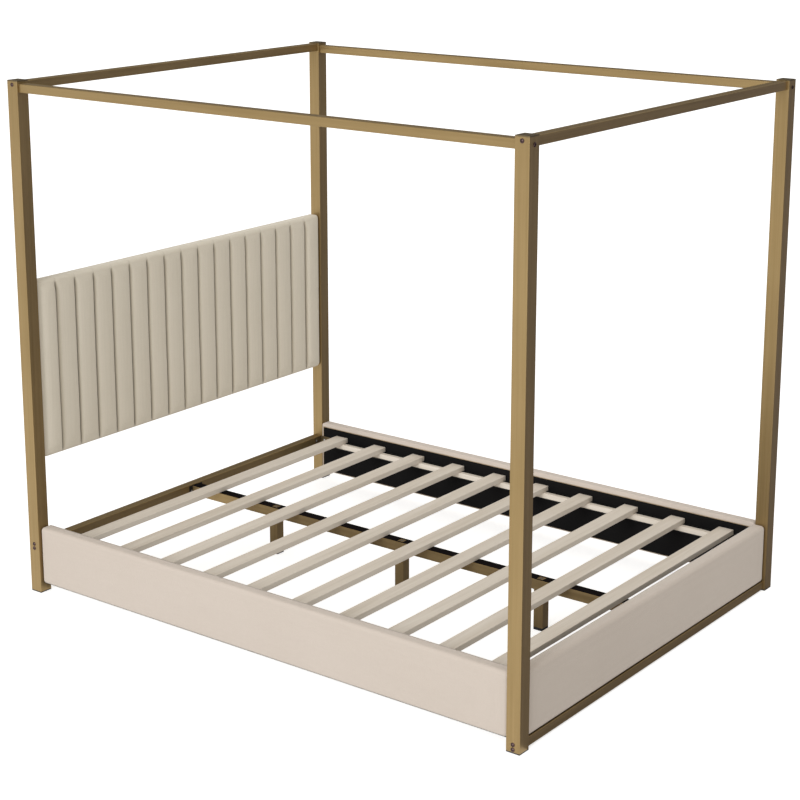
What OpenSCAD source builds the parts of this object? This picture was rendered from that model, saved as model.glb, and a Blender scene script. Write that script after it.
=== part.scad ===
// Four poster canopy bed: metal frame, padded headboard, padded side and foot panels, slatted deck.
// +X is the right side seen from the foot, +Y is the head end, +Z is up, the floor is at z = 0.

/* [Overall] */
// Width across the outer faces of the posts
bed_w = 1655; // [1600:5:1700]
// Length across the outer faces of the posts
bed_l = 2130; // [2090:5:2180]
// Height to the top of the post caps
bed_h = 1858; // [1500:2:2100]

/* [Frame] */
// Side of the square post tube
post_w = 50; // [48:1:54]
// Wall of the post tube
post_wall = 1.5; // [1.2:0.1:2]
// Width of the rail tubes
rail_w = 35; // [32:1:38]
// Height of the rail tubes
rail_h = 30; // [28:1:32]
// Wall of the rail tubes
rail_wall = 1.5; // [1.2:0.1:2]
// Height of the lower edge of the low head rail
head_rail_z = 160; // [150:1:165]

/* [Headboard] */
// Height of the lower edge of the headboard
headboard_z = 500; // [450:5:550]
// Height of the upper edge of the headboard
headboard_top = 1150; // [1000:5:1250]
// Number of upright padded channels
channels = 17; // [9:2:21]
// How far each channel swells forward
channel_swell = 10; // [6:1:12]

/* [Panels] */
// Height of the side and foot panels
panel_h = 216; // [212:1:240]
// Thickness of the side and foot panels
panel_t = 46; // [42:1:46]
// Radius of the soft outer edges
panel_round = 15; // [10:1:16]

/* [Deck] */
// Height of the top of the slats
deck_z = 207; // [205:1:209]
// Width of a slat
slat_w = 60; // [50:1:70]
// Thickness of a slat
slat_t = 20; // [18:1:20]

/* [Hidden] */
sides = [-1, 1];
slats = 10;
legs = 3;
post_names = ["post_foot_left", "post_foot_right", "post_head_left", "post_head_right"];
cap_names = ["cap_foot_left", "cap_foot_right", "cap_head_left", "cap_head_right"];
glide_names = ["glide_foot_left", "glide_foot_right", "glide_head_left", "glide_head_right"];
panel_names = ["left_panel", "right_panel", "foot_panel"];
panel_parts = ["board", "cover", "lining"];

brass = "#9e8255";
brass_dark = "#6b5638";
black = "#1a1917";
fabric = "#cfc6b5";
timber = "#cdbda0";
steel = "#4a3d3a";
$fn = 32;

in_x = bed_w / 2 - post_w;
in_y = bed_l / 2 - post_w;
post_x = bed_w / 2 - post_w / 2;
post_y = bed_l / 2 - post_w / 2;
cap_t = 4;
glide_t = 4;
post_len = bed_h - cap_t - glide_t;
tube_round = 2;
cap_plug = 5;
glide_plug = 3;
plug_gap = 0.2;
fine_gap = 0.3;

side_rail_drop = 26;
side_rail_mid_z = bed_h - side_rail_drop;
end_rail_mid_z = bed_h - cap_t - rail_h / 2;
foot_rail_z = 5;
foot_rail_mid_z = foot_rail_z + rail_h / 2;
head_rail_mid_z = head_rail_z + rail_h / 2;
head_rail_y = post_y - rail_w / 2;

bolt_r = 4;
bolt_hole_r = 4.2;
bolt_head_r = 7;
bolt_head_h = 4;
bolt_reach = 20;
bolt_len = post_w + bolt_reach;
bolt_clear = 10;
bolt_pair = 8;
end_bolt_lift = 4;
nut_block_len = 25;
socket_share = 0.42;
hex_sides = 6;

pad_proud = 6;
pad_behind = 16;
pad_front_y = in_y - pad_proud;
pad_back_y = post_y + pad_behind;
pad_half_w = in_x - fine_gap;
pad_rim = 15;
pad_edge_r = 10;
top_band = 24;
headboard_h = headboard_top - headboard_z;
headboard_ply_t = 18;
tab_t = 3;
tab_h = 60;
tab_reach = 47.5;
tab_inset = 90;
tab_bolt_in = 30;
cloth_t = 1;
cloth_side_inset = 6;
cloth_end_inset = 12;
cloth_gap = 2;
small_bolt_r = 3;
small_hole_r = 3.2;
small_head_r = 5.5;
headboard_head_h = 3.2;

panel_z = foot_rail_z + rail_h;
panel_half_len = in_y - fine_gap;
foot_panel_half_len = in_x - fine_gap;
lining_t = 2;
panel_board_t = 34;
panel_skin = 10;
panel_end_skin = 4;
lip_h = 18;

slat_z = deck_z - slat_t;
deck_end_gap = 82;
deck_half = in_y - deck_end_gap;
slat_pitch = (2 * deck_half - slat_w) / (slats - 1);
slat_end_gap = 3;
slat_half_len = in_x - slat_end_gap;
strip_t = 20;
angle_t = 2;
angle_z = 164;
angle_reach = 41.5;
ledger_end_gap = 26;
ledger_half = deck_half - ledger_end_gap;
ledger_screws = 6;
ledger_screw_pitch = 320;
ledger_screw_lift = 12;
strip_inset = 29.5;
strip_x = in_x - strip_inset;
strip_h = slat_z - angle_z - angle_t;

tape_t = 2;
centre_w = 38;
centre_h = 38;
centre_top = slat_z - tape_t;
centre_z = centre_top - centre_h;
bracket_t = 3;
bracket_leg = 42;
bracket_h = rail_h;
bracket_screws_y = [12, 30];
bracket_screws_x = [15, 33];
leg_foot_h = 10;
leg_head_r = 6.5;
leg_head_h = 3;
leg_bolt_tail = 8;
leg_slat_step = 3;
tape_window = 28;
end_plate_w = 70;
end_screw_x = 25;
centre_y0 = -in_y + bracket_t;
centre_y1 = head_rail_y - bracket_t;
centre_len = centre_y1 - centre_y0;
screw_r = 2;
screw_hole_r = 2.2;
screw_head_r = 4;
screw_head_h = 2.2;
screw_len = 16;
slat_screw_len = 36;

// Plane shapes

module round_square(w, h, r) {
  square([w - 2 * r, h], center = true);
  square([w, h - 2 * r], center = true);
  for (x = sides, y = sides)
    translate([x * (w / 2 - r), y * (h / 2 - r)])
      circle(r);
}

// Square at x = 0, rounded corners at x = w
module soft_side(w, half, r) {
  translate([0, -half + r])
    square([w, 2 * (half - r)]);
  translate([0, -half])
    square([w - r, 2 * half]);
  for (s = sides)
    translate([w - r, s * (half - r)])
      circle(r);
}

// Tubes, centred on the origin

module tube_z(len, w, d, wall) {
  linear_extrude(len, center = true)
    difference() {
      round_square(w, d, tube_round);
      square([w - 2 * wall, d - 2 * wall], center = true);
    }
}

module tube_x(len) {
  rotate([90, 0, 90])
    tube_z(len, rail_w, rail_h, rail_wall);
}

module tube_y(len, w, h) {
  rotate([90, 0, 0])
    tube_z(len, w, h, rail_wall);
}

// Fasteners: the head points along +Z, the seat is at z = 0

module domed_head(r, h) {
  rim = h / 4;
  crown = h - rim;
  dome_r = (r * r + crown * crown) / (2 * crown);
  intersection() {
    cylinder(h = h, r = r);
    translate([0, 0, h - dome_r])
      sphere(dome_r, $fn = 64);
  }
}

module screw(r, len, head_r, head_h) {
  difference() {
    union() {
      domed_head(head_r, head_h);
      translate([0, 0, -len])
        cylinder(h = len + head_h / 4, r = r);
    }
    translate([0, 0, head_h / 2])
      cylinder(h = head_h, r = head_r * socket_share, $fn = hex_sides);
  }
}

// Seats of the four frame bolts of one corner: three on the side face, one on the end face
module at_corner_bolts(sx, sy) {
  low_mid = sy < 0 ? foot_rail_mid_z : head_rail_mid_z;
  for (z = [end_rail_mid_z + end_bolt_lift, low_mid - bolt_pair, low_mid + bolt_pair])
    translate([sx * bed_w / 2, sy * post_y, z])
      rotate([0, 90 * sx, 0])
        children();
  translate([sx * post_x, sy * bed_l / 2, side_rail_mid_z])
    rotate([-90 * sy, 0, 0])
      children();
}

module corner_bolt_holes(sx, sy) {
  at_corner_bolts(sx, sy)
    translate([0, 0, -bolt_len - bolt_clear])
      cylinder(h = bolt_len + 2 * bolt_clear, r = bolt_hole_r);
}

module at_headboard_bolts() {
  for (sx = sides, z = [headboard_z + tab_inset, headboard_top - tab_inset])
    translate([sx * (in_x - tab_bolt_in), pad_back_y + tab_t, z])
      rotate([-90, 0, 0])
        children();
}

// Screw seats of the brackets, the angles and the centre rail ends
module at_panel_screws() {
  for (sx = sides) {
    side_turn = [0, -90 * sx, 0];
    for (sy = sides, d = bracket_screws_y)
      translate([sx * (in_x - bracket_t), sy * (in_y - d), head_rail_mid_z])
        rotate(side_turn)
          children();
    for (d = bracket_screws_x)
      translate([sx * (in_x - d), centre_y0, head_rail_mid_z])
        rotate([-90, 0, 0])
          children();
    translate([sx * (in_x - bracket_screws_x[1]), centre_y1, head_rail_mid_z])
      rotate([90, 0, 0])
        children();
    for (i = [0:ledger_screws - 1]) {
      screw_y = (i - (ledger_screws - 1) / 2) * ledger_screw_pitch;
      translate([sx * (in_x - angle_t), screw_y, angle_z + ledger_screw_lift])
        rotate(side_turn)
          children();
    }
    translate([sx * end_screw_x, centre_y0, centre_z + centre_h / 2])
      rotate([-90, 0, 0])
        children();
    translate([sx * end_screw_x, centre_y1, centre_z + centre_h / 2])
      rotate([90, 0, 0])
        children();
  }
}

module panel_screw_holes() {
  at_panel_screws()
    translate([0, 0, -screw_len - 1])
      cylinder(h = screw_len + 2, r = screw_hole_r);
}

function slat_y(i) = (i - (slats - 1) / 2) * slat_pitch;
function leg_y(i) = (i - (legs - 1) / 2) * leg_slat_step * slat_pitch;

module at_slat_screws() {
  for (sx = sides, i = [0:slats - 1])
    translate([sx * strip_x, slat_y(i), angle_z])
      rotate([180, 0, 0])
        children();
}

module slat_screw_holes() {
  at_slat_screws()
    translate([0, 0, -slat_screw_len - 1])
      cylinder(h = slat_screw_len + 2, r = screw_hole_r);
}

module at_leg_bolts() {
  for (i = [0:legs - 1])
    translate([0, leg_y(i), centre_top])
      children();
}

// Frame

module post(sx, sy) {
  color(brass)
    difference() {
      union() {
        translate([sx * post_x, sy * post_y, glide_t + post_len / 2])
          tube_z(post_len, post_w, post_w, post_wall);
        if (sy > 0)
          for (z = [headboard_z + tab_inset, headboard_top - tab_inset])
            translate([sx * (in_x - tab_reach / 2 + 0.5), pad_back_y + tab_t / 2, z])
              cube([tab_reach + 1, tab_t, tab_h], center = true);
      }
      corner_bolt_holes(sx, sy);
      at_headboard_bolts()
        cylinder(h = 3 * tab_t, r = small_hole_r, center = true);
    }
}

module cap(sx, sy) {
  plug_w = post_w - 2 * post_wall - 2 * plug_gap;
  color(brass_dark)
    translate([sx * post_x, sy * post_y, bed_h - cap_t]) {
      linear_extrude(cap_t)
        round_square(post_w, post_w, tube_round);
      translate([0, 0, -cap_plug])
        linear_extrude(cap_plug + 1)
          square(plug_w, center = true);
    }
}

module glide(sx, sy) {
  plug_w = post_w - 2 * post_wall - 2 * plug_gap;
  color(black)
    translate([sx * post_x, sy * post_y, 0]) {
      linear_extrude(glide_t)
        round_square(post_w, post_w, tube_round);
      linear_extrude(glide_t + glide_plug)
        square(plug_w, center = true);
    }
}

module canopy_rail_side(sx) {
  color(brass)
    translate([sx * post_x, 0, side_rail_mid_z])
      tube_y(2 * in_y, rail_w, rail_h);
}

module canopy_rail_end(sy) {
  color(brass)
    translate([0, sy * post_y, end_rail_mid_z])
      tube_x(2 * in_x);
}

module low_rail_head() {
  color(brass)
    difference() {
      translate([0, post_y, head_rail_mid_z])
        tube_x(2 * in_x);
      panel_screw_holes();
    }
}

module low_rail_foot() {
  color(brass)
    translate([0, -post_y, foot_rail_mid_z])
      tube_x(2 * in_x);
}

module nut_blocks() {
  w = rail_w - 2 * rail_wall;
  h = rail_h - 2 * rail_wall;
  block_x = in_x - nut_block_len / 2;
  block_y = in_y - nut_block_len / 2;
  color(steel)
    for (sx = sides, sy = sides)
      difference() {
        union() {
          for (z = [end_rail_mid_z, sy < 0 ? foot_rail_mid_z : head_rail_mid_z])
            translate([sx * block_x, sy * post_y, z])
              cube([nut_block_len, w, h], center = true);
          translate([sx * post_x, sy * block_y, side_rail_mid_z])
            cube([w, nut_block_len, h], center = true);
        }
        corner_bolt_holes(sx, sy);
      }
}

module frame_bolts() {
  color(steel)
    for (sx = sides, sy = sides)
      at_corner_bolts(sx, sy)
        screw(bolt_r, bolt_len, bolt_head_r, bolt_head_h);
}

// Headboard

module headboard_board() {
  color(timber)
    difference() {
      translate([0, pad_back_y - headboard_ply_t / 2, headboard_z + headboard_h / 2])
        cube([2 * (pad_half_w - pad_rim), headboard_ply_t, headboard_h - 2 * pad_rim], center = true);
      at_headboard_bolts()
        cylinder(h = 3 * headboard_ply_t, r = small_hole_r, center = true);
    }
}

// Plan of the padded front: a row of shallow arcs on a straight back
module channel_plan() {
  pitch = 2 * pad_half_w / channels;
  arc_r = (pitch * pitch / 4 + channel_swell * channel_swell) / (2 * channel_swell);
  valley_y = pad_front_y + channel_swell;
  translate([-pad_half_w, valley_y])
    square([2 * pad_half_w, pad_back_y - valley_y]);
  for (i = [0:channels - 1])
    translate([-pad_half_w + (i + 0.5) * pitch, valley_y])
      intersection() {
        translate([-pitch / 2, -channel_swell])
          square([pitch, channel_swell + 1]);
        translate([0, arc_r - channel_swell])
          circle(arc_r, $fn = 128);
      }
}

module headboard_pad() {
  depth = pad_back_y - pad_front_y;
  color(fabric)
    difference() {
      union() {
        translate([0, 0, headboard_z])
          linear_extrude(headboard_h - top_band / 2)
            channel_plan();
        translate([0, (pad_front_y + 1 + pad_back_y) / 2, headboard_top - top_band / 2])
          rotate([90, 0, 90])
            linear_extrude(2 * pad_half_w, center = true)
              round_square(depth - 1, top_band, pad_edge_r);
      }
      translate([0, pad_back_y - headboard_ply_t / 2 + 1, headboard_z + headboard_h / 2])
        cube(
          [2 * (pad_half_w - pad_rim), headboard_ply_t + 2, headboard_h - 2 * pad_rim],
          center = true
        );
    }
}

module headboard_cloth() {
  color(black)
    difference() {
      translate([0, pad_back_y + cloth_t / 2, headboard_z + headboard_h / 2])
        cube(
          [2 * (pad_half_w - cloth_side_inset), cloth_t, headboard_h - 2 * cloth_end_inset],
          center = true
        );
      for (sx = sides, z = [headboard_z + tab_inset, headboard_top - tab_inset])
        translate([sx * (in_x - tab_reach / 2), pad_back_y, z])
          cube([tab_reach + 2 * cloth_gap, 3 * tab_t, tab_h + 2 * cloth_gap], center = true);
    }
}

module headboard_bolts() {
  color(steel)
    at_headboard_bolts()
      screw(small_bolt_r, headboard_ply_t, small_head_r, headboard_head_h);
}

// Side and foot panels: x = 0 is the inner face, the panel is panel_t thick, z = 0 is its foot

module panel_shape(half) {
  intersection() {
    linear_extrude(panel_h)
      soft_side(panel_t, half, panel_round);
    translate([0, 0, panel_h / 2])
      rotate([90, 0, 0])
        linear_extrude(2 * half, center = true)
          soft_side(panel_t, panel_h / 2, panel_round);
  }
}

module panel_board(half) {
  translate([lining_t, -half + panel_end_skin, lining_t])
    cube([panel_board_t, 2 * (half - panel_end_skin), panel_h - lining_t - panel_skin]);
}

module panel_lining(half) {
  translate([0, -half + panel_end_skin, lining_t])
    cube([lining_t, 2 * (half - panel_end_skin), panel_h - lining_t - lip_h]);
}

module panel_cover(half) {
  difference() {
    panel_shape(half);
    panel_board(half);
    translate([-1, -half + panel_end_skin, lining_t])
      cube([lining_t + 2, 2 * (half - panel_end_skin), panel_h - lining_t - lip_h]);
  }
}

// Puts panel 0, 1 or 2 (left, right, foot) in its place
module in_panel_place(i) {
  if (i == 0)
    translate([-in_x, 0, panel_z])
      mirror([1, 0, 0])
        children();
  if (i == 1)
    translate([in_x, 0, panel_z])
      children();
  if (i == 2)
    translate([0, -in_y, panel_z])
      rotate([0, 0, -90])
        children();
}

module panel(i, part) {
  half = i == 2 ? foot_panel_half_len : panel_half_len;
  if (part == 0)
    color(timber)
      difference() {
        in_panel_place(i)
          panel_board(half);
        panel_screw_holes();
      }
  if (part == 1)
    color(fabric)
      in_panel_place(i)
        panel_cover(half);
  if (part == 2)
    color(black)
      difference() {
        in_panel_place(i)
          panel_lining(half);
        panel_screw_holes();
      }
}

// Deck

module ledger_angle(sx) {
  color(black)
    difference() {
      union() {
        translate([sx * (in_x - angle_t / 2), 0, angle_z + strip_h / 2])
          cube([angle_t, 2 * ledger_half, strip_h], center = true);
        translate([sx * (in_x - angle_reach / 2), 0, angle_z + angle_t / 2])
          cube([angle_reach, 2 * ledger_half, angle_t], center = true);
      }
      panel_screw_holes();
      slat_screw_holes();
    }
}

module ledger_strip(sx) {
  color(timber)
    difference() {
      translate([sx * strip_x, 0, angle_z + angle_t + strip_h / 2])
        cube([strip_t, 2 * ledger_half, strip_h], center = true);
      slat_screw_holes();
    }
}

module corner_brackets() {
  color(brass)
    difference() {
      for (sx = sides) {
        for (sy = sides) {
          leg = sy < 0 ? bracket_leg : centre_y1 + bracket_t - in_y + bracket_leg;
          end_y = sy < 0 ? -in_y + leg / 2 : centre_y1 + bracket_t - leg / 2;
          translate([sx * (in_x - bracket_t / 2), end_y, head_rail_mid_z])
            cube([bracket_t, leg, bracket_h], center = true);
          face_y = sy < 0 ? -in_y + bracket_t / 2 : head_rail_y - bracket_t / 2;
          translate([sx * (in_x - bracket_leg / 2), face_y, head_rail_mid_z])
            cube([bracket_leg, bracket_t, bracket_h], center = true);
        }
      }
      panel_screw_holes();
    }
}

module panel_screws() {
  color(steel)
    at_panel_screws()
      screw(screw_r, screw_len, screw_head_r, screw_head_h);
}

module slat_screws() {
  color(steel)
    at_slat_screws()
      screw(screw_r, slat_screw_len, screw_head_r, screw_head_h);
}

module centre_rail() {
  color(brass)
    difference() {
      translate([0, (centre_y0 + centre_y1) / 2, centre_z + centre_h / 2])
        tube_y(centre_len, centre_w, centre_h);
      at_leg_bolts()
        cylinder(h = 3 * centre_h, r = bolt_hole_r, center = true);
    }
}

module centre_rail_tape() {
  color(black)
    difference() {
      translate([0, (centre_y0 + centre_y1) / 2, centre_top + tape_t / 2])
        cube([centre_w, centre_len, tape_t], center = true);
      at_leg_bolts()
        cube([tape_window, tape_window, 3 * tape_t], center = true);
    }
}

module centre_rail_ends() {
  color(steel)
    difference() {
      for (y = [centre_y0 - bracket_t / 2, centre_y1 + bracket_t / 2])
        translate([0, y, centre_z + centre_h / 2])
          cube([end_plate_w, bracket_t, centre_h], center = true);
      panel_screw_holes();
    }
}

module leg_bolts() {
  color(steel)
    at_leg_bolts()
      screw(bolt_r, centre_h + leg_bolt_tail, leg_head_r, leg_head_h);
}

module leg(i) {
  tube_len = centre_z - bracket_t - leg_foot_h + 1;
  color(brass)
    difference() {
      translate([0, leg_y(i), leg_foot_h]) {
        translate([0, 0, tube_len / 2])
          tube_z(tube_len, centre_w, centre_w, rail_wall);
        translate([0, 0, tube_len - 1 + bracket_t / 2])
          cube([centre_w, centre_w, bracket_t], center = true);
      }
      at_leg_bolts()
        cylinder(h = 4 * centre_h, r = bolt_hole_r, center = true);
    }
}

module leg_foot(i) {
  color(black)
    translate([0, leg_y(i), 0]) {
      linear_extrude(leg_foot_h)
        round_square(centre_w, centre_w, tube_round);
      linear_extrude(leg_foot_h + cap_plug)
        square(centre_w - 2 * rail_wall - 2 * plug_gap, center = true);
    }
}

module slat(i) {
  color(timber)
    difference() {
      translate([0, slat_y(i), slat_z + slat_t / 2])
        cube([2 * slat_half_len, slat_w, slat_t], center = true);
      slat_screw_holes();
    }
}

for (k = [0:3]) {
  sx = sides[k % 2];
  sy = sides[floor(k / 2)];
  post(sx, sy);
  cap(sx, sy);
  glide(sx, sy);
}
canopy_rail_side(-1);  // canopy_rail_left
canopy_rail_side(1);  // canopy_rail_right
canopy_rail_end(1);  // canopy_rail_head
canopy_rail_end(-1);  // canopy_rail_foot
low_rail_head();
low_rail_foot();
nut_blocks();
frame_bolts();
headboard_board();
headboard_pad();
headboard_cloth();
headboard_bolts();
for (i = [0:2], q = [0:2])
  panel(i, q);
ledger_angle(-1);  // ledger_angle_left
ledger_angle(1);  // ledger_angle_right
ledger_strip(-1);  // ledger_strip_left
ledger_strip(1);  // ledger_strip_right
corner_brackets();
panel_screws();
slat_screws();
centre_rail();
centre_rail_tape();
centre_rail_ends();
leg_bolts();
for (i = [1:legs]) {
  leg(i - 1);
  leg_foot(i - 1);
}
for (i = [1:slats])
  slat(i - 1);
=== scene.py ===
import math

import bpy
import numpy as np
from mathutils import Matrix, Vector, noise


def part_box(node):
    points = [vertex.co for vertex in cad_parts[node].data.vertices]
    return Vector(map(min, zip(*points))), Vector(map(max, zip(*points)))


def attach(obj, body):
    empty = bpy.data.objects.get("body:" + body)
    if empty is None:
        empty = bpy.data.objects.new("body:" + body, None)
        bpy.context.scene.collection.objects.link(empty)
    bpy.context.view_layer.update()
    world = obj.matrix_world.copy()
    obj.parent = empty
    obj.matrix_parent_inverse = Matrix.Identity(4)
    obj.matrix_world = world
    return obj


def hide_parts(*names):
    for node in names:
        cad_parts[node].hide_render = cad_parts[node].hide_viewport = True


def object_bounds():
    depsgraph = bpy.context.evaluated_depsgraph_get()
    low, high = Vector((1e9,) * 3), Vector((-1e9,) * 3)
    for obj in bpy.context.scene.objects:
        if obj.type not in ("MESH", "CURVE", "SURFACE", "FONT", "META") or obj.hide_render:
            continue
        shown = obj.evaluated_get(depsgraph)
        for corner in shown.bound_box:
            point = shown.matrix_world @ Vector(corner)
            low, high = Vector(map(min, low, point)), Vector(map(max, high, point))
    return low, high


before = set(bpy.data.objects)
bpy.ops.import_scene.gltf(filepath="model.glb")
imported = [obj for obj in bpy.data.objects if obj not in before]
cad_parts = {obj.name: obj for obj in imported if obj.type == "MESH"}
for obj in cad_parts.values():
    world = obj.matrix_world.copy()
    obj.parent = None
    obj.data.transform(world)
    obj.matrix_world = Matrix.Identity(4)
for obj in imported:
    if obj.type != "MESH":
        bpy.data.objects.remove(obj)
cad_lo, cad_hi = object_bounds()
BODY = "root"
centre = (cad_lo + cad_hi) / 2


# ---------- camera, floor and lights ----------

PHOTO_SIDE = 800
SENSOR = 36.0
VIEW_YAW = math.radians(52.77)
VIEW_PITCH = math.radians(13.66)
FOCAL_PX = 1880.0
EYE_FROM_CENTRE = Vector((-5.123, -3.876, 1.700))
SHIFT_X, SHIFT_Y = 0.002, -0.12

KEY_TOWARD, KEY_STRENGTH, KEY_SPREAD = (-0.93, -0.06, 0.34), 1.56, 28
KEY_TINT = (0.985, 1.0, 1.03)
TOP_TOWARD, TOP_STRENGTH, TOP_SPREAD = (0.05, -0.05, 1.0), 0.30, 70
WORLD_TINT, WORLD_STRENGTH = (1.0, 0.98, 0.94), 0.59

camera = bpy.data.objects.new("camera", bpy.data.cameras.new("camera"))
bpy.context.collection.objects.link(camera)
camera.data.sensor_width = SENSOR
camera.data.lens = FOCAL_PX / PHOTO_SIDE * SENSOR
camera.data.shift_x = SHIFT_X
camera.data.shift_y = SHIFT_Y
camera.location = centre + EYE_FROM_CENTRE
camera.rotation_euler = (math.pi / 2 - VIEW_PITCH, 0, -VIEW_YAW)
bpy.context.scene.camera = camera


def sun(name, toward, strength, spread_deg, colour=(1, 1, 1)):
    """A soft distant light; toward is the direction of the light seen from the bed."""
    data = bpy.data.lights.new(name, "SUN")
    data.energy = strength
    data.angle = math.radians(spread_deg)
    data.color = colour
    light = bpy.data.objects.new(name, data)
    light.rotation_euler = Vector(toward).to_track_quat("Z", "Y").to_euler()
    bpy.context.collection.objects.link(light)


sun("key", KEY_TOWARD, KEY_STRENGTH, KEY_SPREAD, KEY_TINT)
sun("overhead", TOP_TOWARD, TOP_STRENGTH, TOP_SPREAD)

world = bpy.data.worlds.new("studio")
world.use_nodes = True
sky = world.node_tree.nodes["Background"]
sky.inputs["Color"].default_value = (*WORLD_TINT, 1)
sky.inputs["Strength"].default_value = WORLD_STRENGTH
bpy.context.scene.world = world
bpy.context.scene.view_settings.view_transform = "Standard"


# ---------- materials ----------

# A wave texture of scale 1 repeats after this many metres.
BAND_REPEAT = 0.05 * 2 * math.pi


class Nodes:
    """Builds one material's node tree."""

    def __init__(self, name):
        self.material = bpy.data.materials.new(name)
        self.material.use_nodes = True
        self.tree = self.material.node_tree
        self.shader = self.tree.nodes["Principled BSDF"]
        self.point = self.add("ShaderNodeTexCoord").outputs["Object"]

    def add(self, kind, links=(), **settings):
        made = self.tree.nodes.new(kind)
        for key, value in settings.items():
            setattr(made, key, value)
        for socket, value in dict(links).items():
            if isinstance(value, bpy.types.NodeSocket):
                self.tree.links.new(value, made.inputs[socket])
            else:
                made.inputs[socket].default_value = value
        return made

    def stretched(self, scale):
        mapping = self.add("ShaderNodeMapping", {"Vector": self.point, "Scale": scale})
        return mapping.outputs["Vector"]

    def noise(self, scale, detail=3.0, rough=0.5, stretch=None, distortion=0.0):
        vector = self.point if stretch is None else self.stretched(stretch)
        made = self.add(
            "ShaderNodeTexNoise",
            {"Vector": vector, "Scale": scale, "Detail": detail, "Roughness": rough,
             "Distortion": distortion},
        )
        return made.outputs["Fac"]

    def ramp(self, value, stops):
        made = self.add("ShaderNodeValToRGB", {"Fac": value})
        elements = made.color_ramp.elements
        while len(elements) < len(stops):
            elements.new(0.5)
        for element, (place, colour) in zip(elements, stops):
            element.position = place
            element.color = (*colour, 1)
        return made.outputs["Color"]

    def span(self, value, low, high, out_low, out_high):
        made = self.add(
            "ShaderNodeMapRange",
            {"Value": value, "From Min": low, "From Max": high, "To Min": out_low,
             "To Max": out_high},
        )
        return made.outputs["Result"]

    def maths(self, operation, a, b):
        return self.add("ShaderNodeMath", {0: a, 1: b}, operation=operation).outputs[0]

    def mix(self, factor, a, b):
        made = self.add("ShaderNodeMix", data_type="RGBA")
        for socket, value in ((0, factor), (6, a), (7, b)):
            if isinstance(value, bpy.types.NodeSocket):
                self.tree.links.new(value, made.inputs[socket])
            elif socket == 0:
                made.inputs[socket].default_value = value
            else:
                made.inputs[socket].default_value = (*value, 1)
        return made.outputs[2]

    def wave(self, axis, period, distortion=0.0):
        """Bands across one axis, period metres apart."""
        made = self.add(
            "ShaderNodeTexWave",
            {"Vector": self.point, "Scale": BAND_REPEAT / period,
             "Distortion": distortion, "Detail": 1.0, "Detail Scale": 2.0},
            wave_type="BANDS", bands_direction=axis,
        )
        return made.outputs["Fac"]

    def bump(self, height, strength, distance, under=None):
        links = {"Height": height, "Strength": strength, "Distance": distance}
        if under is not None:
            links["Normal"] = under
        return self.add("ShaderNodeBump", links).outputs["Normal"]

    def finish(self, links, **values):
        for socket, value in links.items():
            self.tree.links.new(value, self.shader.inputs[socket])
        for socket, value in values.items():
            self.shader.inputs[socket.replace("_", " ")].default_value = value
        return self.material


def satin_metal(name, light_tone, dark_tone, along, metallic=0.76, rough=(0.34, 0.46),
                specular=0.3):
    """Sprayed metal with faint lengthwise streaks; along is the axis the bar runs on."""
    n = Nodes(name)
    stretch = [90.0, 90.0, 90.0]
    stretch["XYZ".index(along)] = 1.6
    streaks = n.noise(1.0, 4.0, 0.6, tuple(stretch))
    cloud = n.noise(3.2, 3.0, 0.55)
    speck = n.noise(1400.0, 2.0, 0.5)
    scuff = n.noise(24.0, 6.0, 0.7)
    both = n.maths("ADD", n.maths("MULTIPLY", streaks, 0.7), n.maths("MULTIPLY", cloud, 0.3))
    colour = n.ramp(both, [(0.34, dark_tone), (0.66, light_tone)])
    worn = n.span(scuff, 0.68, 0.80, 0.0, 0.22)
    colour = n.mix(worn, colour, tuple(min(1.0, 1.35 * c) for c in light_tone))
    roughness = n.span(n.maths("ADD", streaks, n.maths("MULTIPLY", scuff, 0.6)), 0.5, 1.1, *rough)
    fine = n.bump(speck, 0.10, 0.0003)
    normal = n.bump(streaks, 0.12, 0.0006, fine)
    return n.finish(
        {"Base Color": colour, "Roughness": roughness, "Normal": normal},
        Metallic=metallic, Specular_IOR_Level=specular,
    )


def woven(name, light_tone, dark_tone, pitch=0.0011, slub=0.55, roughness=0.86, sheen=0.25,
          specular=0.25, shade_seams=False):
    """Plain weave: threads along all three axes, so every face shows warp and weft.

    A cloth with seam shade on darkens where the mesh's per-point value marks a stitched valley:
    painted shade in the seams.
    """
    n = Nodes(name)
    waves = [n.wave(axis, pitch, 0.6) for axis in "XYZ"]
    weave = n.maths("MULTIPLY", n.maths("ADD", waves[0], 0.35), n.maths("ADD", waves[1], 0.35))
    weave = n.maths("MULTIPLY", weave, n.maths("ADD", waves[2], 0.35))
    slubs_up = n.noise(1.0, 3.0, 0.6, (520.0, 520.0, 30.0))
    slubs_across = n.noise(1.0, 3.0, 0.6, (34.0, 34.0, 560.0))
    cloud = n.noise(2.3, 4.0, 0.55)
    shade = n.maths("MULTIPLY", n.maths("ADD", slubs_up, slubs_across), 0.5 * slub)
    shade = n.maths("ADD", shade, n.maths("MULTIPLY", cloud, 1.0 - slub))
    colour = n.ramp(shade, [(0.30, dark_tone), (0.70, light_tone)])
    # Painted shade: the colour darkens in the dips between the threads.
    thread_gap_shade = n.span(weave, 0.0, 1.2, 0.10, 0.0)
    colour = n.mix(thread_gap_shade, colour, tuple(0.55 * c for c in dark_tone))
    # Painted shade: darkens the colour along the stitched seam valleys, by the mesh's per-point
    # value.
    if shade_seams:
        seam_shade = n.add("ShaderNodeAttribute", attribute_name="seam_shade").outputs["Fac"]
        colour = n.mix(seam_shade, colour, tuple(CREASE_SHADE * c for c in dark_tone))
    rough = n.span(cloud, 0.3, 0.7, roughness - 0.05, roughness + 0.05)
    threads = n.bump(weave, 0.35, 0.0004)
    normal = n.bump(n.maths("ADD", slubs_up, slubs_across), 0.14, 0.0006, threads)
    return n.finish(
        {"Base Color": colour, "Roughness": rough, "Normal": normal},
        Sheen_Weight=sheen, Sheen_Roughness=0.45, Specular_IOR_Level=specular,
    )


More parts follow.
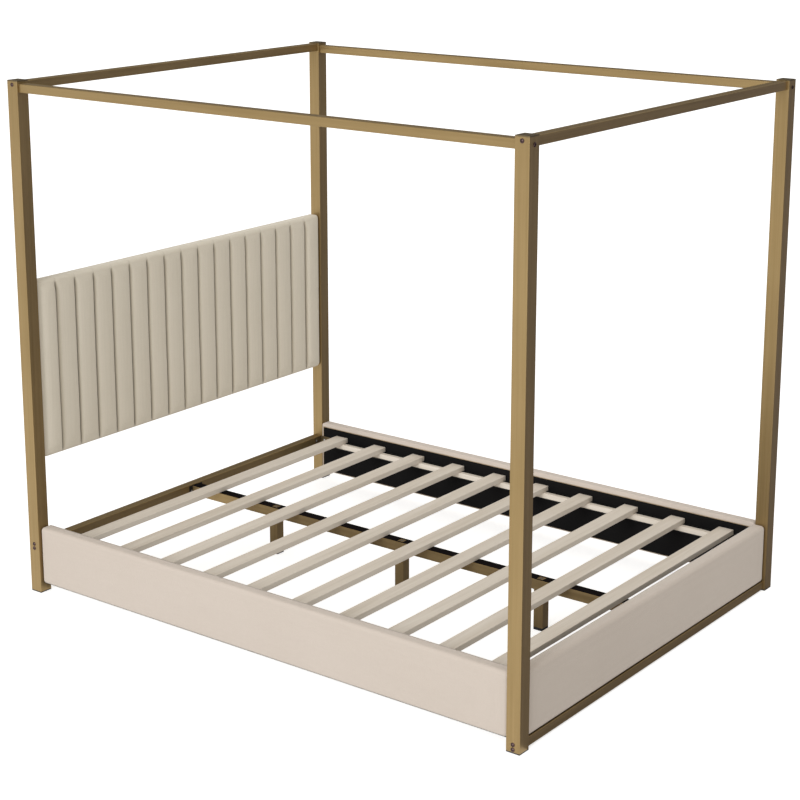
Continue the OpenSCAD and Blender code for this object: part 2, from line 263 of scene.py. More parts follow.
def timber(name, pale, mid, dark, along="X", roughness=0.62):
    """Planed softwood with grain along one axis."""
    n = Nodes(name)
    stretch = [26.0, 26.0, 26.0]
    stretch["XYZ".index(along)] = 1.1
    fibre_stretch = [420.0, 420.0, 420.0]
    fibre_stretch["XYZ".index(along)] = 7.0
    rings = n.noise(1.0, 5.0, 0.62, tuple(stretch), 0.7)
    fibres = n.noise(1.0, 3.0, 0.7, tuple(fibre_stretch))
    board = n.noise(1.6, 2.0, 0.5)
    grain = n.maths("ADD", n.maths("MULTIPLY", rings, 0.72), n.maths("MULTIPLY", fibres, 0.28))
    colour = n.ramp(grain, [(0.32, dark), (0.50, mid), (0.66, pale)])
    tint = n.span(board, 0.3, 0.7, 0.0, 0.35)
    colour = n.mix(tint, colour, mid)
    pore = n.span(fibres, 0.60, 0.75, 0.0, 0.35)
    colour = n.mix(pore, colour, tuple(0.62 * c for c in dark))
    rough = n.span(grain, 0.3, 0.7, roughness + 0.12, roughness - 0.08)
    normal = n.bump(fibres, 0.25, 0.0005)
    normal = n.bump(rings, 0.15, 0.0008, normal)
    return n.finish(
        {"Base Color": colour, "Roughness": rough, "Normal": normal}, Specular_IOR_Level=0.35
    )


def moulded(name, tone, roughness=0.5):
    """Black moulded plastic with a fine spark texture and dusty scuffs."""
    n = Nodes(name)
    grit = n.noise(900.0, 2.0, 0.5)
    dust = n.noise(30.0, 5.0, 0.65)
    colour = n.mix(n.span(dust, 0.55, 0.8, 0.0, 0.25), tone, tuple(3.0 * c + 0.02 for c in tone))
    rough = n.span(dust, 0.3, 0.8, roughness - 0.08, roughness + 0.15)
    normal = n.bump(grit, 0.2, 0.0003)
    return n.finish({"Base Color": colour, "Roughness": rough, "Normal": normal})


# Tone of the painted shade in the headboard's seam valleys, as a share of the cloth's dark tone.
CREASE_SHADE = 0.22
GOLD = ((0.350, 0.246, 0.113), (0.280, 0.193, 0.083))
BRONZE = ((0.200, 0.150, 0.080), (0.150, 0.110, 0.055))
gold = {axis: satin_metal("gold_" + axis, *GOLD, axis) for axis in "XYZ"}
bronze = {axis: satin_metal("bronze_" + axis, *BRONZE, axis) for axis in "XYZ"}
black_steel = satin_metal("black_steel", (0.020, 0.019, 0.018), (0.012, 0.012, 0.011), "Y", 0.3)
bolt_metal = satin_metal("bolt_metal", (0.105, 0.066, 0.062), (0.062, 0.038, 0.036), "Z", 0.9,
                         (0.28, 0.42))
leg_bolt_metal = satin_metal("leg_bolt_metal", (0.20, 0.17, 0.14), (0.13, 0.11, 0.09), "Z", 0.9,
                             (0.3, 0.45))
zinc = satin_metal("zinc", (0.52, 0.51, 0.50), (0.40, 0.39, 0.38), "Z", 0.95, (0.28, 0.42))
cream = woven("cream_weave", (0.700, 0.615, 0.540), (0.640, 0.555, 0.478))
# Painted light: the headboard's cloth is the panels' cream made lighter, standing in for the
# stronger light on the headboard.
lit_cream = woven("lit_cream_weave", (0.850, 0.780, 0.655), (0.790, 0.718, 0.590), shade_seams=True)
black_cloth = woven("black_cloth", (0.012, 0.011, 0.011), (0.005, 0.005, 0.005), 0.0016, 0.4,
                    0.97, 0.0, 0.08)
felt = woven("felt_tape", (0.010, 0.007, 0.007), (0.004, 0.003, 0.003), 0.0020, 0.2, 0.98, 0.0,
             0.04)
SLAT_TONES = ((0.80, 0.73, 0.64), (0.73, 0.655, 0.56), (0.61, 0.53, 0.43))
slat_wood = timber("slat_wood", *SLAT_TONES)
strip_wood = timber("strip_wood", *SLAT_TONES, "Y")
plywood = timber("plywood", (0.55, 0.42, 0.27), (0.48, 0.35, 0.21), (0.38, 0.26, 0.15), "Z", 0.7)
plastic = moulded("black_plastic", (0.018, 0.018, 0.018))

# ---------- mesh pieces ----------

EDGE_STEPS = 5
CLOTH_STIFFNESS = 5.0
BLOW_FRAMES = 20
START_SLACK, START_SLACK_SCALE = 0.0006, 11.0
CLOTH_QUALITY = 6
CLOTH_MASS = 0.2
SHEAR_SHARE = 0.4
BENDING_STIFFNESS = 0.3
AIR_DAMPING = 4
TINY = 1e-6
ROUNDING = 1e-5


def new_piece(name, points, faces, material):
    """A smooth-shaded mesh object with one material."""
    mesh = bpy.data.meshes.new(name)
    mesh.from_pydata([tuple(p) for p in points], [], faces)
    mesh.validate()
    mesh.polygons.foreach_set("use_smooth", [True] * len(mesh.polygons))
    mesh.materials.append(material)
    piece = bpy.data.objects.new(name, mesh)
    bpy.context.collection.objects.link(piece)
    return piece


def with_edges(inner, radius, high=True):
    """Grid lines across a side: closer together over the rounded edges, the far one optional."""
    steps = [math.tan(math.pi / 4 * (1 - k / EDGE_STEPS)) for k in range(EDGE_STEPS)]
    lines = [inner[0] - radius * s for s in steps] + list(inner)
    if high:
        lines = lines + [inner[-1] + radius * s for s in reversed(steps)]
    return np.array(lines)


def block(a_lines, b_lines, c_lines, radius, flat_back=False, lift=None, pocket=()):
    """Closed grid over a block with rounded edges, as points and quads.

    The lines are the inner grid lines on each axis, between the rounded edges. With flat_back the
    far b side stays flat and square. lift(points, normals) returns the points after its changes.
    pocket is a list of (a0, a1, c0, c1, b) rings sunk into the flat back.
    """
    lines = [
        with_edges(a_lines, radius),
        with_edges(b_lines, radius, not flat_back),
        with_edges(c_lines, radius),
    ]
    count = [len(l) for l in lines]
    low = np.array([l[0] for l in (a_lines, b_lines, c_lines)])
    high = np.array([l[-1] for l in (a_lines, b_lines, c_lines)])
    index, grid, faces = {}, [], []

    def corner(i, j, k):
        if (i, j, k) not in index:
            index[i, j, k] = len(grid)
            grid.append((i, j, k))
        return index[i, j, k]

    for axis in range(3):
        u, v = (axis + 1) % 3, (axis + 2) % 3
        for end in (0, count[axis] - 1):
            for p in range(count[u] - 1):
                for q in range(count[v] - 1):
                    at = []
                    for dp, dq in ((0, 0), (1, 0), (1, 1), (0, 1)):
                        place = [0, 0, 0]
                        place[axis], place[u], place[v] = end, p + dp, q + dq
                        at.append(corner(*place))
                    faces.append(at if end else at[::-1])
    grid = np.array(grid)
    flat = np.stack([lines[axis][grid[:, axis]] for axis in range(3)], 1)
    core = np.clip(flat, low, high)
    out = flat - core
    reach = np.abs(out).max(1)
    size = np.linalg.norm(out, axis=1)
    normals = np.where(size[:, None] > 1e-9, out / np.maximum(size, 1e-9)[:, None], 0)
    points = core + normals * reach[:, None]
    if flat_back:
        back = grid[:, 1] == count[1] - 1
        rim = back & (reach > radius * 0.999)
        normals[back & ~rim] = (0, 1, 0)
    if lift is not None:
        points = lift(points, normals)
    if pocket:
        points, faces = sink_pocket(points, faces, flat, grid[:, 1] == count[1] - 1, pocket)
    return points, faces


def sink_pocket(points, faces, flat, back, rings):
    """Sinks a stepped pocket into the flat back of a block, its mouth on the nearest grid lines."""
    def nearest(values, wanted):
        inner = np.unique(values)[1:-1]
        return inner[np.abs(inner - wanted).argmin()]

    a0, a1 = (nearest(flat[:, 0], x) for x in rings[0][:2])
    c0, c1 = (nearest(flat[:, 2], x) for x in rings[0][2:4])
    inside = (
        back & (flat[:, 0] > a0 - TINY) & (flat[:, 0] < a1 + TINY)
        & (flat[:, 2] > c0 - TINY) & (flat[:, 2] < c1 + TINY)
    )
    floor = [f for f in faces if all(inside[i] for i in f)]
    kept = [f for f in faces if not all(inside[i] for i in f)]
    edges = {}
    for f in floor:
        for i in range(4):
            edges[f[i], f[(i + 1) % 4]] = True
    rim = [e for e in edges if (e[1], e[0]) not in edges]
    extra, made = [], len(points)

    def ring_place(i, ring):
        ra0, ra1, rc0, rc1, b = ring
        a = ra0 + (flat[i, 0] - a0) / (a1 - a0) * (ra1 - ra0)
        c = rc0 + (flat[i, 2] - c0) / (c1 - c0) * (rc1 - rc0)
        return (a, b, c)

    below = {i: i for e in rim for i in e}
    for ring in rings:
        level = {}
        for i in below:
            level[i] = made + len(extra)
            extra.append(ring_place(i, ring))
        kept += [[below[i], below[j], level[j], level[i]] for i, j in rim]
        below = level
    for i in sorted({i for f in floor for i in f} - set(below)):
        below[i] = made + len(extra)
        extra.append(ring_place(i, rings[-1]))
    kept += [[below[i] for i in f] for f in floor]
    return np.vstack([points, np.array(extra)]), kept


def spread(low, high, step, *extra):
    """Even grid lines from low to high about step apart, with the extra lines put in."""
    count = max(1, round((high - low) / step))
    lines = np.linspace(low, high, count + 1)
    lines = [x for x in lines if all(abs(x - e) > step * 0.3 for e in extra)]
    return np.array(sorted(lines + [e for e in extra if low <= e <= high]))


def smooth_step(x, low, high):
    t = np.clip((x - low) / (high - low), 0, 1)
    return t * t * (3 - 2 * t)


def noise_at(points, scale, seed):
    """Smooth noise at many points, from -1 to 1."""
    shift = Vector((seed * 7.31, seed * 3.77, seed * 5.13))
    return np.array([noise.noise(Vector(p * scale) + shift) for p in points])


def placed(points, a_dir, b_dir, origin, c_dir=(0, 0, 1)):
    """From block axes (along, into, up) to the row frame."""
    turn = np.array([a_dir, b_dir, c_dir], float)
    return points @ turn + np.array(origin, float)


def thin_sheet(a_lines, c_lines, thick, keep, ripple):
    """A thin closed cloth over a grid; keep(a, c) says which cells stay, ripple lifts points."""
    cells = {}
    for i in range(len(a_lines) - 1):
        for k in range(len(c_lines) - 1):
            middle = ((a_lines[i] + a_lines[i + 1]) / 2, (c_lines[k] + c_lines[k + 1]) / 2)
            if keep(*middle):
                cells[i, k] = True
    index, points, faces = {}, [], []

    def at(i, k, side):
        if (i, k, side) not in index:
            index[i, k, side] = len(points)
            points.append((a_lines[i], side * thick, c_lines[k]))
        return index[i, k, side]

    for i, k in cells:
        ring = [(i, k), (i + 1, k), (i + 1, k + 1), (i, k + 1)]
        faces.append([at(*r, 0) for r in ring])
        faces.append([at(*r, 1) for r in reversed(ring)])
        for n, (di, dk) in enumerate(((0, -1), (1, 0), (0, 1), (-1, 0))):
            if (i + di, k + dk) not in cells:
                u, v = ring[n], ring[(n + 1) % 4]
                faces.append([at(*v, 0), at(*u, 0), at(*u, 1), at(*v, 1)])
    points = np.array(points)
    points[:, 1] += ripple(points)
    return points, faces


def blown_face(columns, depths, rows, edge, held, force, most, seed):
    """Blows up a cloth block by simulation and returns the rise of its front face, as a function.

    held(points) marks the points that the frame and the seams hold. The simulated mesh is coarse
    and is thrown away: the fine piece takes only the rise of the front face from it, scaled down
    where it is needed so that no point rises more than `most`.
    """
    points, faces = block(columns, depths, rows, edge, True)
    front = points[:, 1] < TINY
    pins = [int(i) for i in np.flatnonzero(held(points))]
    slack = noise_at(points * np.array([1.0, 1.0, 0.4]), START_SLACK_SCALE, seed) * START_SLACK
    points[:, 1] += np.where(front, slack, 0)
    piece = new_piece("blown", points, faces, cream)
    piece.vertex_groups.new(name="held").add(pins, 1.0, "REPLACE")
    cloth = piece.modifiers.new("cloth", "CLOTH")
    settings = cloth.settings
    settings.vertex_group_mass = "held"
    settings.quality = CLOTH_QUALITY
    settings.mass = CLOTH_MASS
    settings.tension_stiffness = settings.compression_stiffness = CLOTH_STIFFNESS
    settings.shear_stiffness = SHEAR_SHARE * CLOTH_STIFFNESS
    settings.bending_stiffness = BENDING_STIFFNESS
    settings.air_damping = AIR_DAMPING
    settings.use_pressure = True
    settings.uniform_pressure_force = force
    settings.effector_weights.gravity = 0
    cloth.collision_settings.use_collision = False
    frames = BLOW_FRAMES
    cloth.point_cache.frame_start = 1
    cloth.point_cache.frame_end = frames
    for step in range(1, frames + 1):
        bpy.context.scene.frame_set(step)
    blown = piece.evaluated_get(bpy.context.evaluated_depsgraph_get()).data
    moved = np.empty(3 * len(points))
    blown.vertices.foreach_get("co", moved)
    rise = -moved.reshape(-1, 3)[front, 1]
    rise *= min(1.0, most / rise.max())
    bpy.data.objects.remove(piece)
    bpy.context.scene.frame_set(1)
    a_at = np.unique(np.round(points[front, 0], 6))
    c_at = np.unique(np.round(points[front, 2], 6))
    grid = np.zeros((len(a_at), len(c_at)))
    grid[np.searchsorted(a_at, points[front, 0] - ROUNDING),
         np.searchsorted(c_at, points[front, 2] - ROUNDING)] = rise

    def taps(values, lines):
        """The four nearest lines to each value, with their cubic weights."""
        t = np.interp(values, lines, np.arange(len(lines)))
        whole = np.minimum(np.floor(t), len(lines) - 2).astype(int)
        f = t - whole
        weight = [(-f + 2 * f**2 - f**3) / 2, (2 - 5 * f**2 + 3 * f**3) / 2,
                  (f + 4 * f**2 - 3 * f**3) / 2, (-(f**2) + f**3) / 2]
        return [(np.clip(whole + k - 1, 0, len(lines) - 1), w) for k, w in enumerate(weight)]

    def at(a, c):
        return sum(grid[i, k] * u * v for i, u in taps(a, a_at) for k, v in taps(c, c_at))

    return at


def dress(names, material):
    """Gives CAD nodes one material."""
    for name in names:
        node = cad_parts[name]
        node.data.materials.clear()
        node.data.materials.append(material)


# ---------- metal, plastic and hidden wood: CAD shapes with better materials ----------

corners = ["foot_left", "foot_right", "head_left", "head_right"]
dress(["post_" + c for c in corners], gold["Z"])
# The caps take the darker bronze: in part a darker cap finish, in part painted shade standing in
# for the shade on their gold tops.
dress(["cap_" + c for c in corners], bronze["X"])
dress(["glide_" + c for c in corners], plastic)
dress(["canopy_rail_left", "canopy_rail_right"], gold["Y"])
dress(["canopy_rail_head", "canopy_rail_foot", "low_rail_head", "low_rail_foot"], gold["X"])
dress(["corner_brackets"], bronze["Z"])
dress(["centre_rail"], gold["Y"])
dress(["leg_1", "leg_2", "leg_3"], gold["Z"])
dress(["leg_bolts"], leg_bolt_metal)
dress(["leg_foot_1", "leg_foot_2", "leg_foot_3"], plastic)
dress(["ledger_angle_left", "ledger_angle_right", "centre_rail_ends"], black_steel)
dress(["frame_bolts", "headboard_bolts"], bolt_metal)
dress(["nut_blocks", "panel_screws", "slat_screws"], zinc)
dress(["headboard_board"], plywood)
dress([p + "_panel_board" for p in ("left", "right", "foot")], plywood)

# ---------- slats and ledger strips ----------

WOOD_EDGE = 0.0016
WOOD_STEP_ALONG, WOOD_STEP_ACROSS = 0.04, 0.008
WARP, WARP_SCALE = 0.0003, 3.0
FUZZ, FUZZ_SCALE = 0.00012, 45.0
PLANED_OFF = 0.0002
SLAT_COUNT = 10


def plank(node, material, along, seed):
    """A planed plank with eased edges and a slight warp, in place of its CAD solid."""
    low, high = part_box(node)
    lines = []
    for axis in range(3):
        step = WOOD_STEP_ALONG if axis == along else WOOD_STEP_ACROSS
        lines.append(spread(low[axis] + WOOD_EDGE, high[axis] - WOOD_EDGE, step))

    def warp(points, normals):
        wander = noise_at(points, WARP_SCALE, seed)[:, None] * WARP
        fuzz = noise_at(points, FUZZ_SCALE, seed + 9)[:, None] * FUZZ
        return points + normals * (wander + fuzz - PLANED_OFF)

    points, faces = block(*lines, WOOD_EDGE, lift=warp)
    piece = new_piece(node + "_plank", points, faces, material)
    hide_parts(node)
    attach(piece, BODY)


for i in range(1, SLAT_COUNT + 1):
    plank("slat_%d" % i, slat_wood, 0, i)
plank("ledger_strip_left", strip_wood, 1, 21)
plank("ledger_strip_right", strip_wood, 1, 22)

# ---------- upholstered panels ----------

PANEL_EDGE = 0.015
COVER_LIFT = 0.0012
LINING_THICK = 0.0008
PANEL_CROWN = 0.0030
PANEL_FORCE = 4.0
PANEL_COLUMN, PANEL_DEPTH_STEP, PANEL_ROW = 0.014, 0.008, 0.009
COARSE_COLUMN, COARSE_DEPTH, COARSE_ROW = 0.016, 0.015, 0.012
PIN_PAST_EDGE = 0.001
PANEL_SLACK, END_PULL, TOP_SAG = 0.0008, 0.00030, 0.0007
END_PULL_FROM = 0.07
LINING_HEM, LINING_RIPPLE, LINING_SLACK_FROM = 0.003, 0.00045, 0.03
LINING_ACROSS, LINING_UP = 0.018, 0.009


def panel(side, a_dir, b_dir):
    """The padded cover of one panel and the lining on its inner face."""
    cover, board, lining = ("%s_panel_%s" % (side, p) for p in ("cover", "board", "lining"))
    (c_lo, c_hi), (b_lo, b_hi), (l_lo, l_hi) = (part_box(n) for n in (cover, board, lining))
    a_axis = 0 if a_dir[0] else 1
    b_axis = 1 - a_axis
    half = (c_hi[a_axis] - c_lo[a_axis]) / 2
    depth = c_hi[b_axis] - c_lo[b_axis]
    inner_half = (b_hi[a_axis] - b_lo[a_axis]) / 2
    board_depth = b_hi[b_axis] - b_lo[b_axis]
    skin = l_hi[b_axis] - l_lo[b_axis]
    front = c_lo[b_axis] if b_dir[b_axis] > 0 else c_hi[b_axis]
    origin = [0.0, 0.0, 0.0]
    origin[b_axis] = front
    low, high = c_lo[2], c_hi[2]
    rows = spread(low + PANEL_EDGE, high - PANEL_EDGE, PANEL_ROW, l_hi[2])
    columns = spread(-half + PANEL_EDGE, half - PANEL_EDGE, PANEL_COLUMN)
    depths = spread(PANEL_EDGE, depth, PANEL_DEPTH_STEP)
    seed = 30 + ord(side[0])
    rise_at = blown_face(
        spread(-half + PANEL_EDGE, half - PANEL_EDGE, COARSE_COLUMN),
        spread(PANEL_EDGE, depth, COARSE_DEPTH),
        spread(low + PANEL_EDGE, high - PANEL_EDGE, COARSE_ROW),
        PANEL_EDGE, lambda points: points[:, 1] > PANEL_EDGE + PIN_PAST_EDGE, PANEL_FORCE,
        PANEL_CROWN, seed + 9,
    )

    def lift(points, normals):
        front_face = np.clip(-normals[:, 1], 0, 1)
        along = np.abs(points[:, 0]) / half
        rise = np.maximum(rise_at(points[:, 0], points[:, 2]), 0)
        slack = noise_at(points * np.array([1.0, 1.0, 2.2]), 2.4, seed) * PANEL_SLACK
        pull = noise_at(points * np.array([1.0, 1.0, 0.35]), 34.0, seed + 3) * END_PULL
        end_pull = smooth_step(along, 1 - END_PULL_FROM / half, 1.0)
        pull = pull * (0.25 + end_pull)
        move = (rise - PANEL_CROWN + slack) * front_face + pull * (front_face > 0.05) - COVER_LIFT
        soft = points + normals * move[:, None]
        top = np.clip(normals[:, 2], 0, 1)
        sag = noise_at(points, 7.0, seed + 5) * TOP_SAG * top
        soft[:, 2] += sag
        back = normals[:, 1] > 0.5
        soft[back] = points[back]
        return soft

    rings = [
        (-inner_half, inner_half, l_lo[2], l_hi[2], depth - skin),
        (-inner_half, inner_half, b_lo[2], b_hi[2], depth - skin),
        (-inner_half, inner_half, b_lo[2], b_hi[2], depth - skin - board_depth),
    ]
    points, faces = block(columns, depths, rows, PANEL_EDGE, True, lift, rings)
    piece = new_piece(side + "_panel_padding", placed(points, a_dir, b_dir, origin), faces, cream)
    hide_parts(cover)
    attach(piece, BODY)

    length, height = 2 * (inner_half - LINING_HEM), l_hi[2] - l_lo[2] - 2 * LINING_HEM
    across = spread(-length / 2, length / 2, LINING_ACROSS)
    up = spread(l_lo[2] + LINING_HEM, l_hi[2] - LINING_HEM, LINING_UP)

    def ripple(points):
        below_hem = l_hi[2] - LINING_HEM - points[:, 2]
        edge = np.clip(below_hem / LINING_SLACK_FROM, 0.15, 1)
        wave = noise_at(points * np.array([1.0, 0.0, 0.5]), 16.0, seed + 7)
        return wave * LINING_RIPPLE * edge

    points, faces = thin_sheet(across, up, LINING_THICK, lambda a, c: True, ripple)
    points[:, 1] += depth - 0.5 * (skin + LINING_THICK)
    cloth = new_piece(side + "_panel_lining_cloth", placed(points, a_dir, b_dir, origin), faces,
                      black_cloth)
    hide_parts(lining)
    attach(cloth, BODY)


panel("left", (0, -1, 0), (1, 0, 0))
panel("right", (0, 1, 0), (-1, 0, 0))
panel("foot", (1, 0, 0), (0, 1, 0))

# ---------- channel-padded headboard ----------

CHANNELS = 17
HEAD_EDGE = 0.018
SEAM_DEPTH = 0.0125
SEAM_ROLL = 0.017
SEAM_SLOT, SEAM_SLOT_SHARE = 0.0021, 0.45
SEAM_WANDER = 0.0006
HOOK, HOOK_FROM, HOOK_TO = 0.0060, 0.014, 0.050
FADE_LEAST, FADE_GAIN, FADE_FROM, FADE_TO = 0.10, 0.90, 0.010, 0.034
SEAM_SHADE_WIDTH = 0.0027
CHANNEL_CROWN = 0.0080
RIM_CROWN = 0.0120
HEAD_FORCE = 70.0
SEAM_END = 0.030
COARSE_SHARE = 8
SIDE_ROLL, SIDE_DROP = 0.070, 0.007
HEAD_ROW, HEAD_DEPTH_STEP, HEAD_COARSE_ROW = 0.0065, 0.008, 0.0115
PUCKER, PUCKER_REACH = 0.0009, 0.013
FAN, FAN_RATE, FAN_REACH = 0.0006, 520, 0.018
END_ZONE_AT, END_ZONE_REACH, LOW_END_SHARE = 0.036, 0.022, 0.6
HEAD_SLACK, HEAD_LIFT = 0.0009, 0.0008
COLUMN_SHARES = (0, 0.008, 0.022, 0.040, 0.065, 0.10, 0.15, 0.23, 0.34, 0.5,
                 0.66, 0.77, 0.85, 0.90, 0.935, 0.960, 0.978, 0.992)


def headboard():
    """The padded front of the headboard: upright channels, rolled edges, board pocket behind."""
    lo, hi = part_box("headboard_pad")
    board_lo, board_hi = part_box("headboard_board")
    width, depth = hi[0] - lo[0], hi[1] - lo[1]
    pitch = width / CHANNELS
    left, right = lo[0] + HEAD_EDGE, hi[0] - HEAD_EDGE
    columns = {left, right}
    for i in range(CHANNELS):
        for share in COLUMN_SHARES:
            x = lo[0] + (i + share) * pitch
            if left + 0.001 < x < right - 0.001:
                columns.add(x)
    rows = spread(lo[2] + HEAD_EDGE, hi[2] - HEAD_EDGE, HEAD_ROW)
    depths = spread(HEAD_EDGE, depth, HEAD_DEPTH_STEP)
    seam_shade = []

    def held(points):
        t = (points[:, 0] - lo[0]) / pitch
        seam = np.round(t)
        on_seam = (np.abs(t - seam) * pitch < 0.002) & (seam > 0) & (seam < CHANNELS)
        on_seam &= (points[:, 2] < hi[2] - SEAM_END) & (points[:, 1] < 0.7 * HEAD_EDGE)
        return on_seam | (points[:, 1] > 0.6 * depth)

    coarse = [lo[0] + i * pitch / COARSE_SHARE for i in range(1, CHANNELS * COARSE_SHARE)]
    coarse = [x for x in coarse if left + 0.003 < x < right - 0.003]
    rise_at = blown_face(
        np.array([left] + coarse + [right]), spread(HEAD_EDGE, depth, COARSE_DEPTH),
        spread(lo[2] + HEAD_EDGE, hi[2] - HEAD_EDGE, HEAD_COARSE_ROW), HEAD_EDGE, held,
        HEAD_FORCE, RIM_CROWN, 61,
    )

    def lift(points, normals):
        x, z = points[:, 0], points[:, 2]
        facing = np.clip(-normals[:, 1], 0, 1)
        below_top = hi[2] - z
        hook = HOOK * (1 - smooth_step(below_top, HOOK_FROM, HOOK_TO))
        wander = noise_at(points * np.array([0.0, 0.0, 1.0]), 5.0, 3) * SEAM_WANDER
        t = (x + hook + wander - lo[0]) / pitch
        seam = np.clip(np.round(t), 1, CHANNELS - 1)
        gap = np.abs(t - seam) * pitch
        valley = 1 - np.sqrt(np.clip(1 - (1 - np.minimum(gap / SEAM_ROLL, 1)) ** 2, 0, 1))
        fade = FADE_LEAST + FADE_GAIN * smooth_step(below_top, FADE_FROM, FADE_TO)
        top_roll = np.clip(normals[:, 2], 0, 1)
        reach = np.clip(facing * 1.7 + 0.25 * top_roll, 0, 1)
        valley += SEAM_SLOT_SHARE * np.exp(-(gap / SEAM_SLOT) ** 2)
        sink = SEAM_DEPTH * valley * fade * reach
        rise = np.clip(rise_at(x + hook + wander, z), 0, CHANNEL_CROWN)
        sink += (CHANNEL_CROWN - rise) * facing
        from_side = np.minimum(x - lo[0], hi[0] - x)
        sink += SIDE_DROP * np.clip(1 - from_side / SIDE_ROLL, 0, 1) ** 2 * facing
        # Painted shade: how strongly each point's colour is darkened along the seam valleys, kept
        # on the mesh for the cloth.
        seam_shade.extend(np.exp(-(gap / SEAM_SHADE_WIDTH) ** 2) * fade * reach)
        near = np.exp(-gap / PUCKER_REACH)
        end_zone = np.exp(-((below_top - END_ZONE_AT) / END_ZONE_REACH) ** 2)
        end_zone += LOW_END_SHARE * np.exp(-((z - lo[2]) / END_ZONE_REACH) ** 2)
        fan = np.sin((x - seam * pitch) * FAN_RATE + noise_at(points, 20.0, 5) * 2.2)
        pucker = noise_at(points * np.array([0.35, 1.0, 1.0]), 42.0, 8) * PUCKER * near
        pucker += fan * FAN * end_zone * np.exp(-gap / FAN_REACH)
        soft = noise_at(points * np.array([1.0, 1.0, 0.4]), 9.0, 12) * HEAD_SLACK
        sink += (pucker + soft) * facing + HEAD_LIFT
        moved = points - normals * sink[:, None]
        still = normals[:, 1] > 0.5
        moved[still] = points[still]
        return moved

    rings = [(board_lo[0], board_hi[0], board_lo[2], board_hi[2], board_lo[1] - lo[1])]
    points, faces = block(np.array(sorted(columns)), depths, rows, HEAD_EDGE, True, lift, rings)
    piece = new_piece("headboard_padding", placed(points, (1, 0, 0), (0, 1, 0), (0, lo[1], 0)),
                      faces, lit_cream)
    seam_shade += [0.0] * (len(points) - len(seam_shade))
    piece.data.attributes.new("seam_shade", "FLOAT", "POINT").data.foreach_set("value", seam_shade)
    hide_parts("headboard_pad")
    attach(piece, BODY)


headboard()


# ---------- cloths on the headboard's back and on the centre rail ----------

TAB_GAP, TAB_HALF, TAB_IN = 0.002, 0.030, 0.0475
HEAD_BOLT_R = 0.0055
BACK_ACROSS, BACK_UP = 0.016, 0.014
BACK_THICK, BACK_INSET = 0.0007, 0.0004
BACK_RIPPLE, BACK_LIFT = 0.0006, 0.0001
FELT_THICK, FELT_FUZZ = 0.0016, 0.00025
FELT_ALONG, FELT_ACROSS = 0.012, 0.005
WINDOW_HALF = 0.014
LEG_BOLT_R = 0.0065


def back_cloth():
    """The black cloth on the headboard's back, notched round the tabs of the posts."""
    lo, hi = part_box("headboard_cloth")
    bolt_lo, bolt_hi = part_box("headboard_bolts")
    tab_mid = [bolt_lo[2] + HEAD_BOLT_R, bolt_hi[2] - HEAD_BOLT_R]
    post_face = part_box("post_foot_left")[1][0]
    notch_x = -post_face - TAB_IN - TAB_GAP

    def keep(a, c):
        beside = abs(a) > notch_x
        return not (beside and any(abs(c - t) < TAB_HALF + TAB_GAP for t in tab_mid))

    notch_rows = [t + s * (TAB_HALF + TAB_GAP) for t in tab_mid for s in (-1, 1)]
    across = spread(lo[0], hi[0], BACK_ACROSS, -notch_x, notch_x)
    up = spread(lo[2], hi[2], BACK_UP, *notch_rows)

    def ripple(points):
        wave = noise_at(points * np.array([0.7, 0.0, 1.0]), 9.0, 41)
        return wave * BACK_RIPPLE + BACK_LIFT

    points, faces = thin_sheet(across, up, BACK_THICK, keep, ripple)
    cloth = new_piece("headboard_back_cloth",
                      placed(points, (1, 0, 0), (0, 1, 0), (0, lo[1] + BACK_INSET, 0)), faces,
                      black_cloth)
    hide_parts("headboard_cloth")
    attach(cloth, BODY)


back_cloth()


def rail_tape():
    """The felt strip on the centre rail, with a window round each leg bolt."""
    lo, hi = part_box("centre_rail_tape")
    bolts_lo, bolts_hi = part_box("leg_bolts")
    legs = [bolts_lo[1] + LEG_BOLT_R, 0.0, bolts_hi[1] - LEG_BOLT_R]
    cuts = [leg + s * WINDOW_HALF for leg in legs for s in (-1, 1)]

    def keep(a, c):
        return not (abs(c) < WINDOW_HALF and any(abs(a - leg) < WINDOW_HALF for leg in legs))

    along = spread(lo[1], hi[1], FELT_ALONG, *cuts)
    across = spread(lo[0], hi[0], FELT_ACROSS, -WINDOW_HALF, WINDOW_HALF)

    def ripple(points):
        return noise_at(points, 60.0, 51) * FELT_FUZZ * (points[:, 1] > 0.0001)

    points, faces = thin_sheet(along, across, FELT_THICK, keep, ripple)
    cloth = new_piece("centre_rail_felt",
                      placed(points, (0, 1, 0), (0, 0, 1), (0, 0, lo[2]), (1, 0, 0)), faces, felt)
    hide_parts("centre_rail_tape")
    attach(cloth, BODY)


rail_tape()

# ---------- stage ----------

STAGE_HALF = 45.0
PAPER_TONE, PAPER_GLOW = 0.80, 0.62
paper = Nodes("white_paper")
fibre = paper.noise(3.0, 3.0, 0.5)
white_paper = paper.finish(
    {"Roughness": paper.span(fibre, 0.3, 0.7, 0.85, 0.95)},
    Base_Color=(PAPER_TONE, PAPER_TONE, PAPER_TONE, 1), Specular_IOR_Level=0.1,
    Emission_Color=(1, 1, 1, 1), Emission_Strength=PAPER_GLOW,
)
ring = [(-STAGE_HALF, -STAGE_HALF), (STAGE_HALF, -STAGE_HALF), (STAGE_HALF, STAGE_HALF),
        (-STAGE_HALF, STAGE_HALF)]
floor = new_piece("floor", [(x, y, 0) for x, y in ring], [(0, 1, 2, 3)], white_paper)
floor.visible_diffuse = False
backdrop = new_piece(
    "backdrop",
    [(x, y, z) for z in (0, STAGE_HALF) for x, y in ring],
    [(0, 4, 5, 1), (1, 5, 6, 2), (2, 6, 7, 3), (3, 7, 4, 0), (4, 7, 6, 5)],
    white_paper,
)
for kind in ("diffuse", "glossy", "transmission", "volume_scatter", "shadow"):
    setattr(backdrop, "visible_" + kind, False)

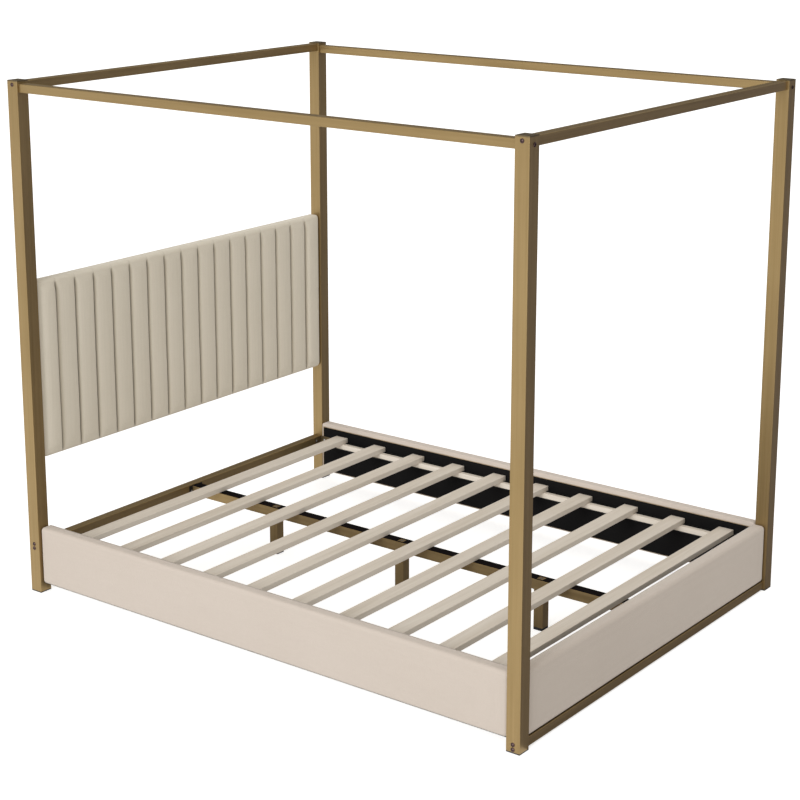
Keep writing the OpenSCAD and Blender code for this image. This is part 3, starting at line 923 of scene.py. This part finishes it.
# Cards seen only in reflections: a grey one under the bed and to its right keeps the foot-side
# faces dark, and a near-black one far behind the bed keeps the tops of the rails dark.
CARD_FROM_X, CARD_TO_X = -0.78, 12.0
CARD_FROM_Y, CARD_TO_Y = -9.0, 1.0
CARD_LIFT, CARD_H = 0.001, 5.0
CARD_TONE, BACK_CARD_TONE = (0.22, 0.22, 0.30), (0.05, 0.05, 0.05)
BACK_CARD_TO, BACK_CARD_LOW, BACK_CARD_H = 14.0, 0.5, 9.0


def card_paint(name, tone):
    """Matt paint of one flat tone for a card."""
    paint = bpy.data.materials.new(name)
    paint.use_nodes = True
    shader = paint.node_tree.nodes["Principled BSDF"]
    shader.inputs["Base Color"].default_value = (*tone, 1)
    shader.inputs["Roughness"].default_value = 1.0
    return paint


card = new_piece(
    "black_card",
    [(CARD_FROM_X, CARD_TO_Y, CARD_LIFT), (CARD_FROM_X, CARD_FROM_Y, CARD_LIFT),
     (CARD_TO_X, CARD_FROM_Y, CARD_LIFT), (CARD_TO_X, CARD_TO_Y, CARD_LIFT),
     (CARD_TO_X, CARD_TO_Y, CARD_H), (CARD_TO_X, CARD_FROM_Y, CARD_H),
     (CARD_FROM_X, CARD_FROM_Y, CARD_H)],
    [(0, 1, 2, 3), (3, 2, 5, 4), (1, 6, 5, 2)],
    card_paint("front_card_paint", CARD_TONE),
)
back_card = new_piece(
    "back_card",
    [(CARD_TO_X, CARD_TO_Y, BACK_CARD_LOW), (CARD_TO_X, CARD_TO_Y, BACK_CARD_H),
     (CARD_TO_X, BACK_CARD_TO, BACK_CARD_LOW), (CARD_TO_X, BACK_CARD_TO, BACK_CARD_H),
     (0, BACK_CARD_TO, BACK_CARD_LOW), (0, BACK_CARD_TO, BACK_CARD_H)],
    [(0, 2, 3, 1), (2, 4, 5, 3)],
    card_paint("back_card_paint", BACK_CARD_TONE),
)
for stage_card in (card, back_card):
    for kind in ("camera", "diffuse", "transmission", "volume_scatter", "shadow"):
        setattr(stage_card, "visible_" + kind, False)
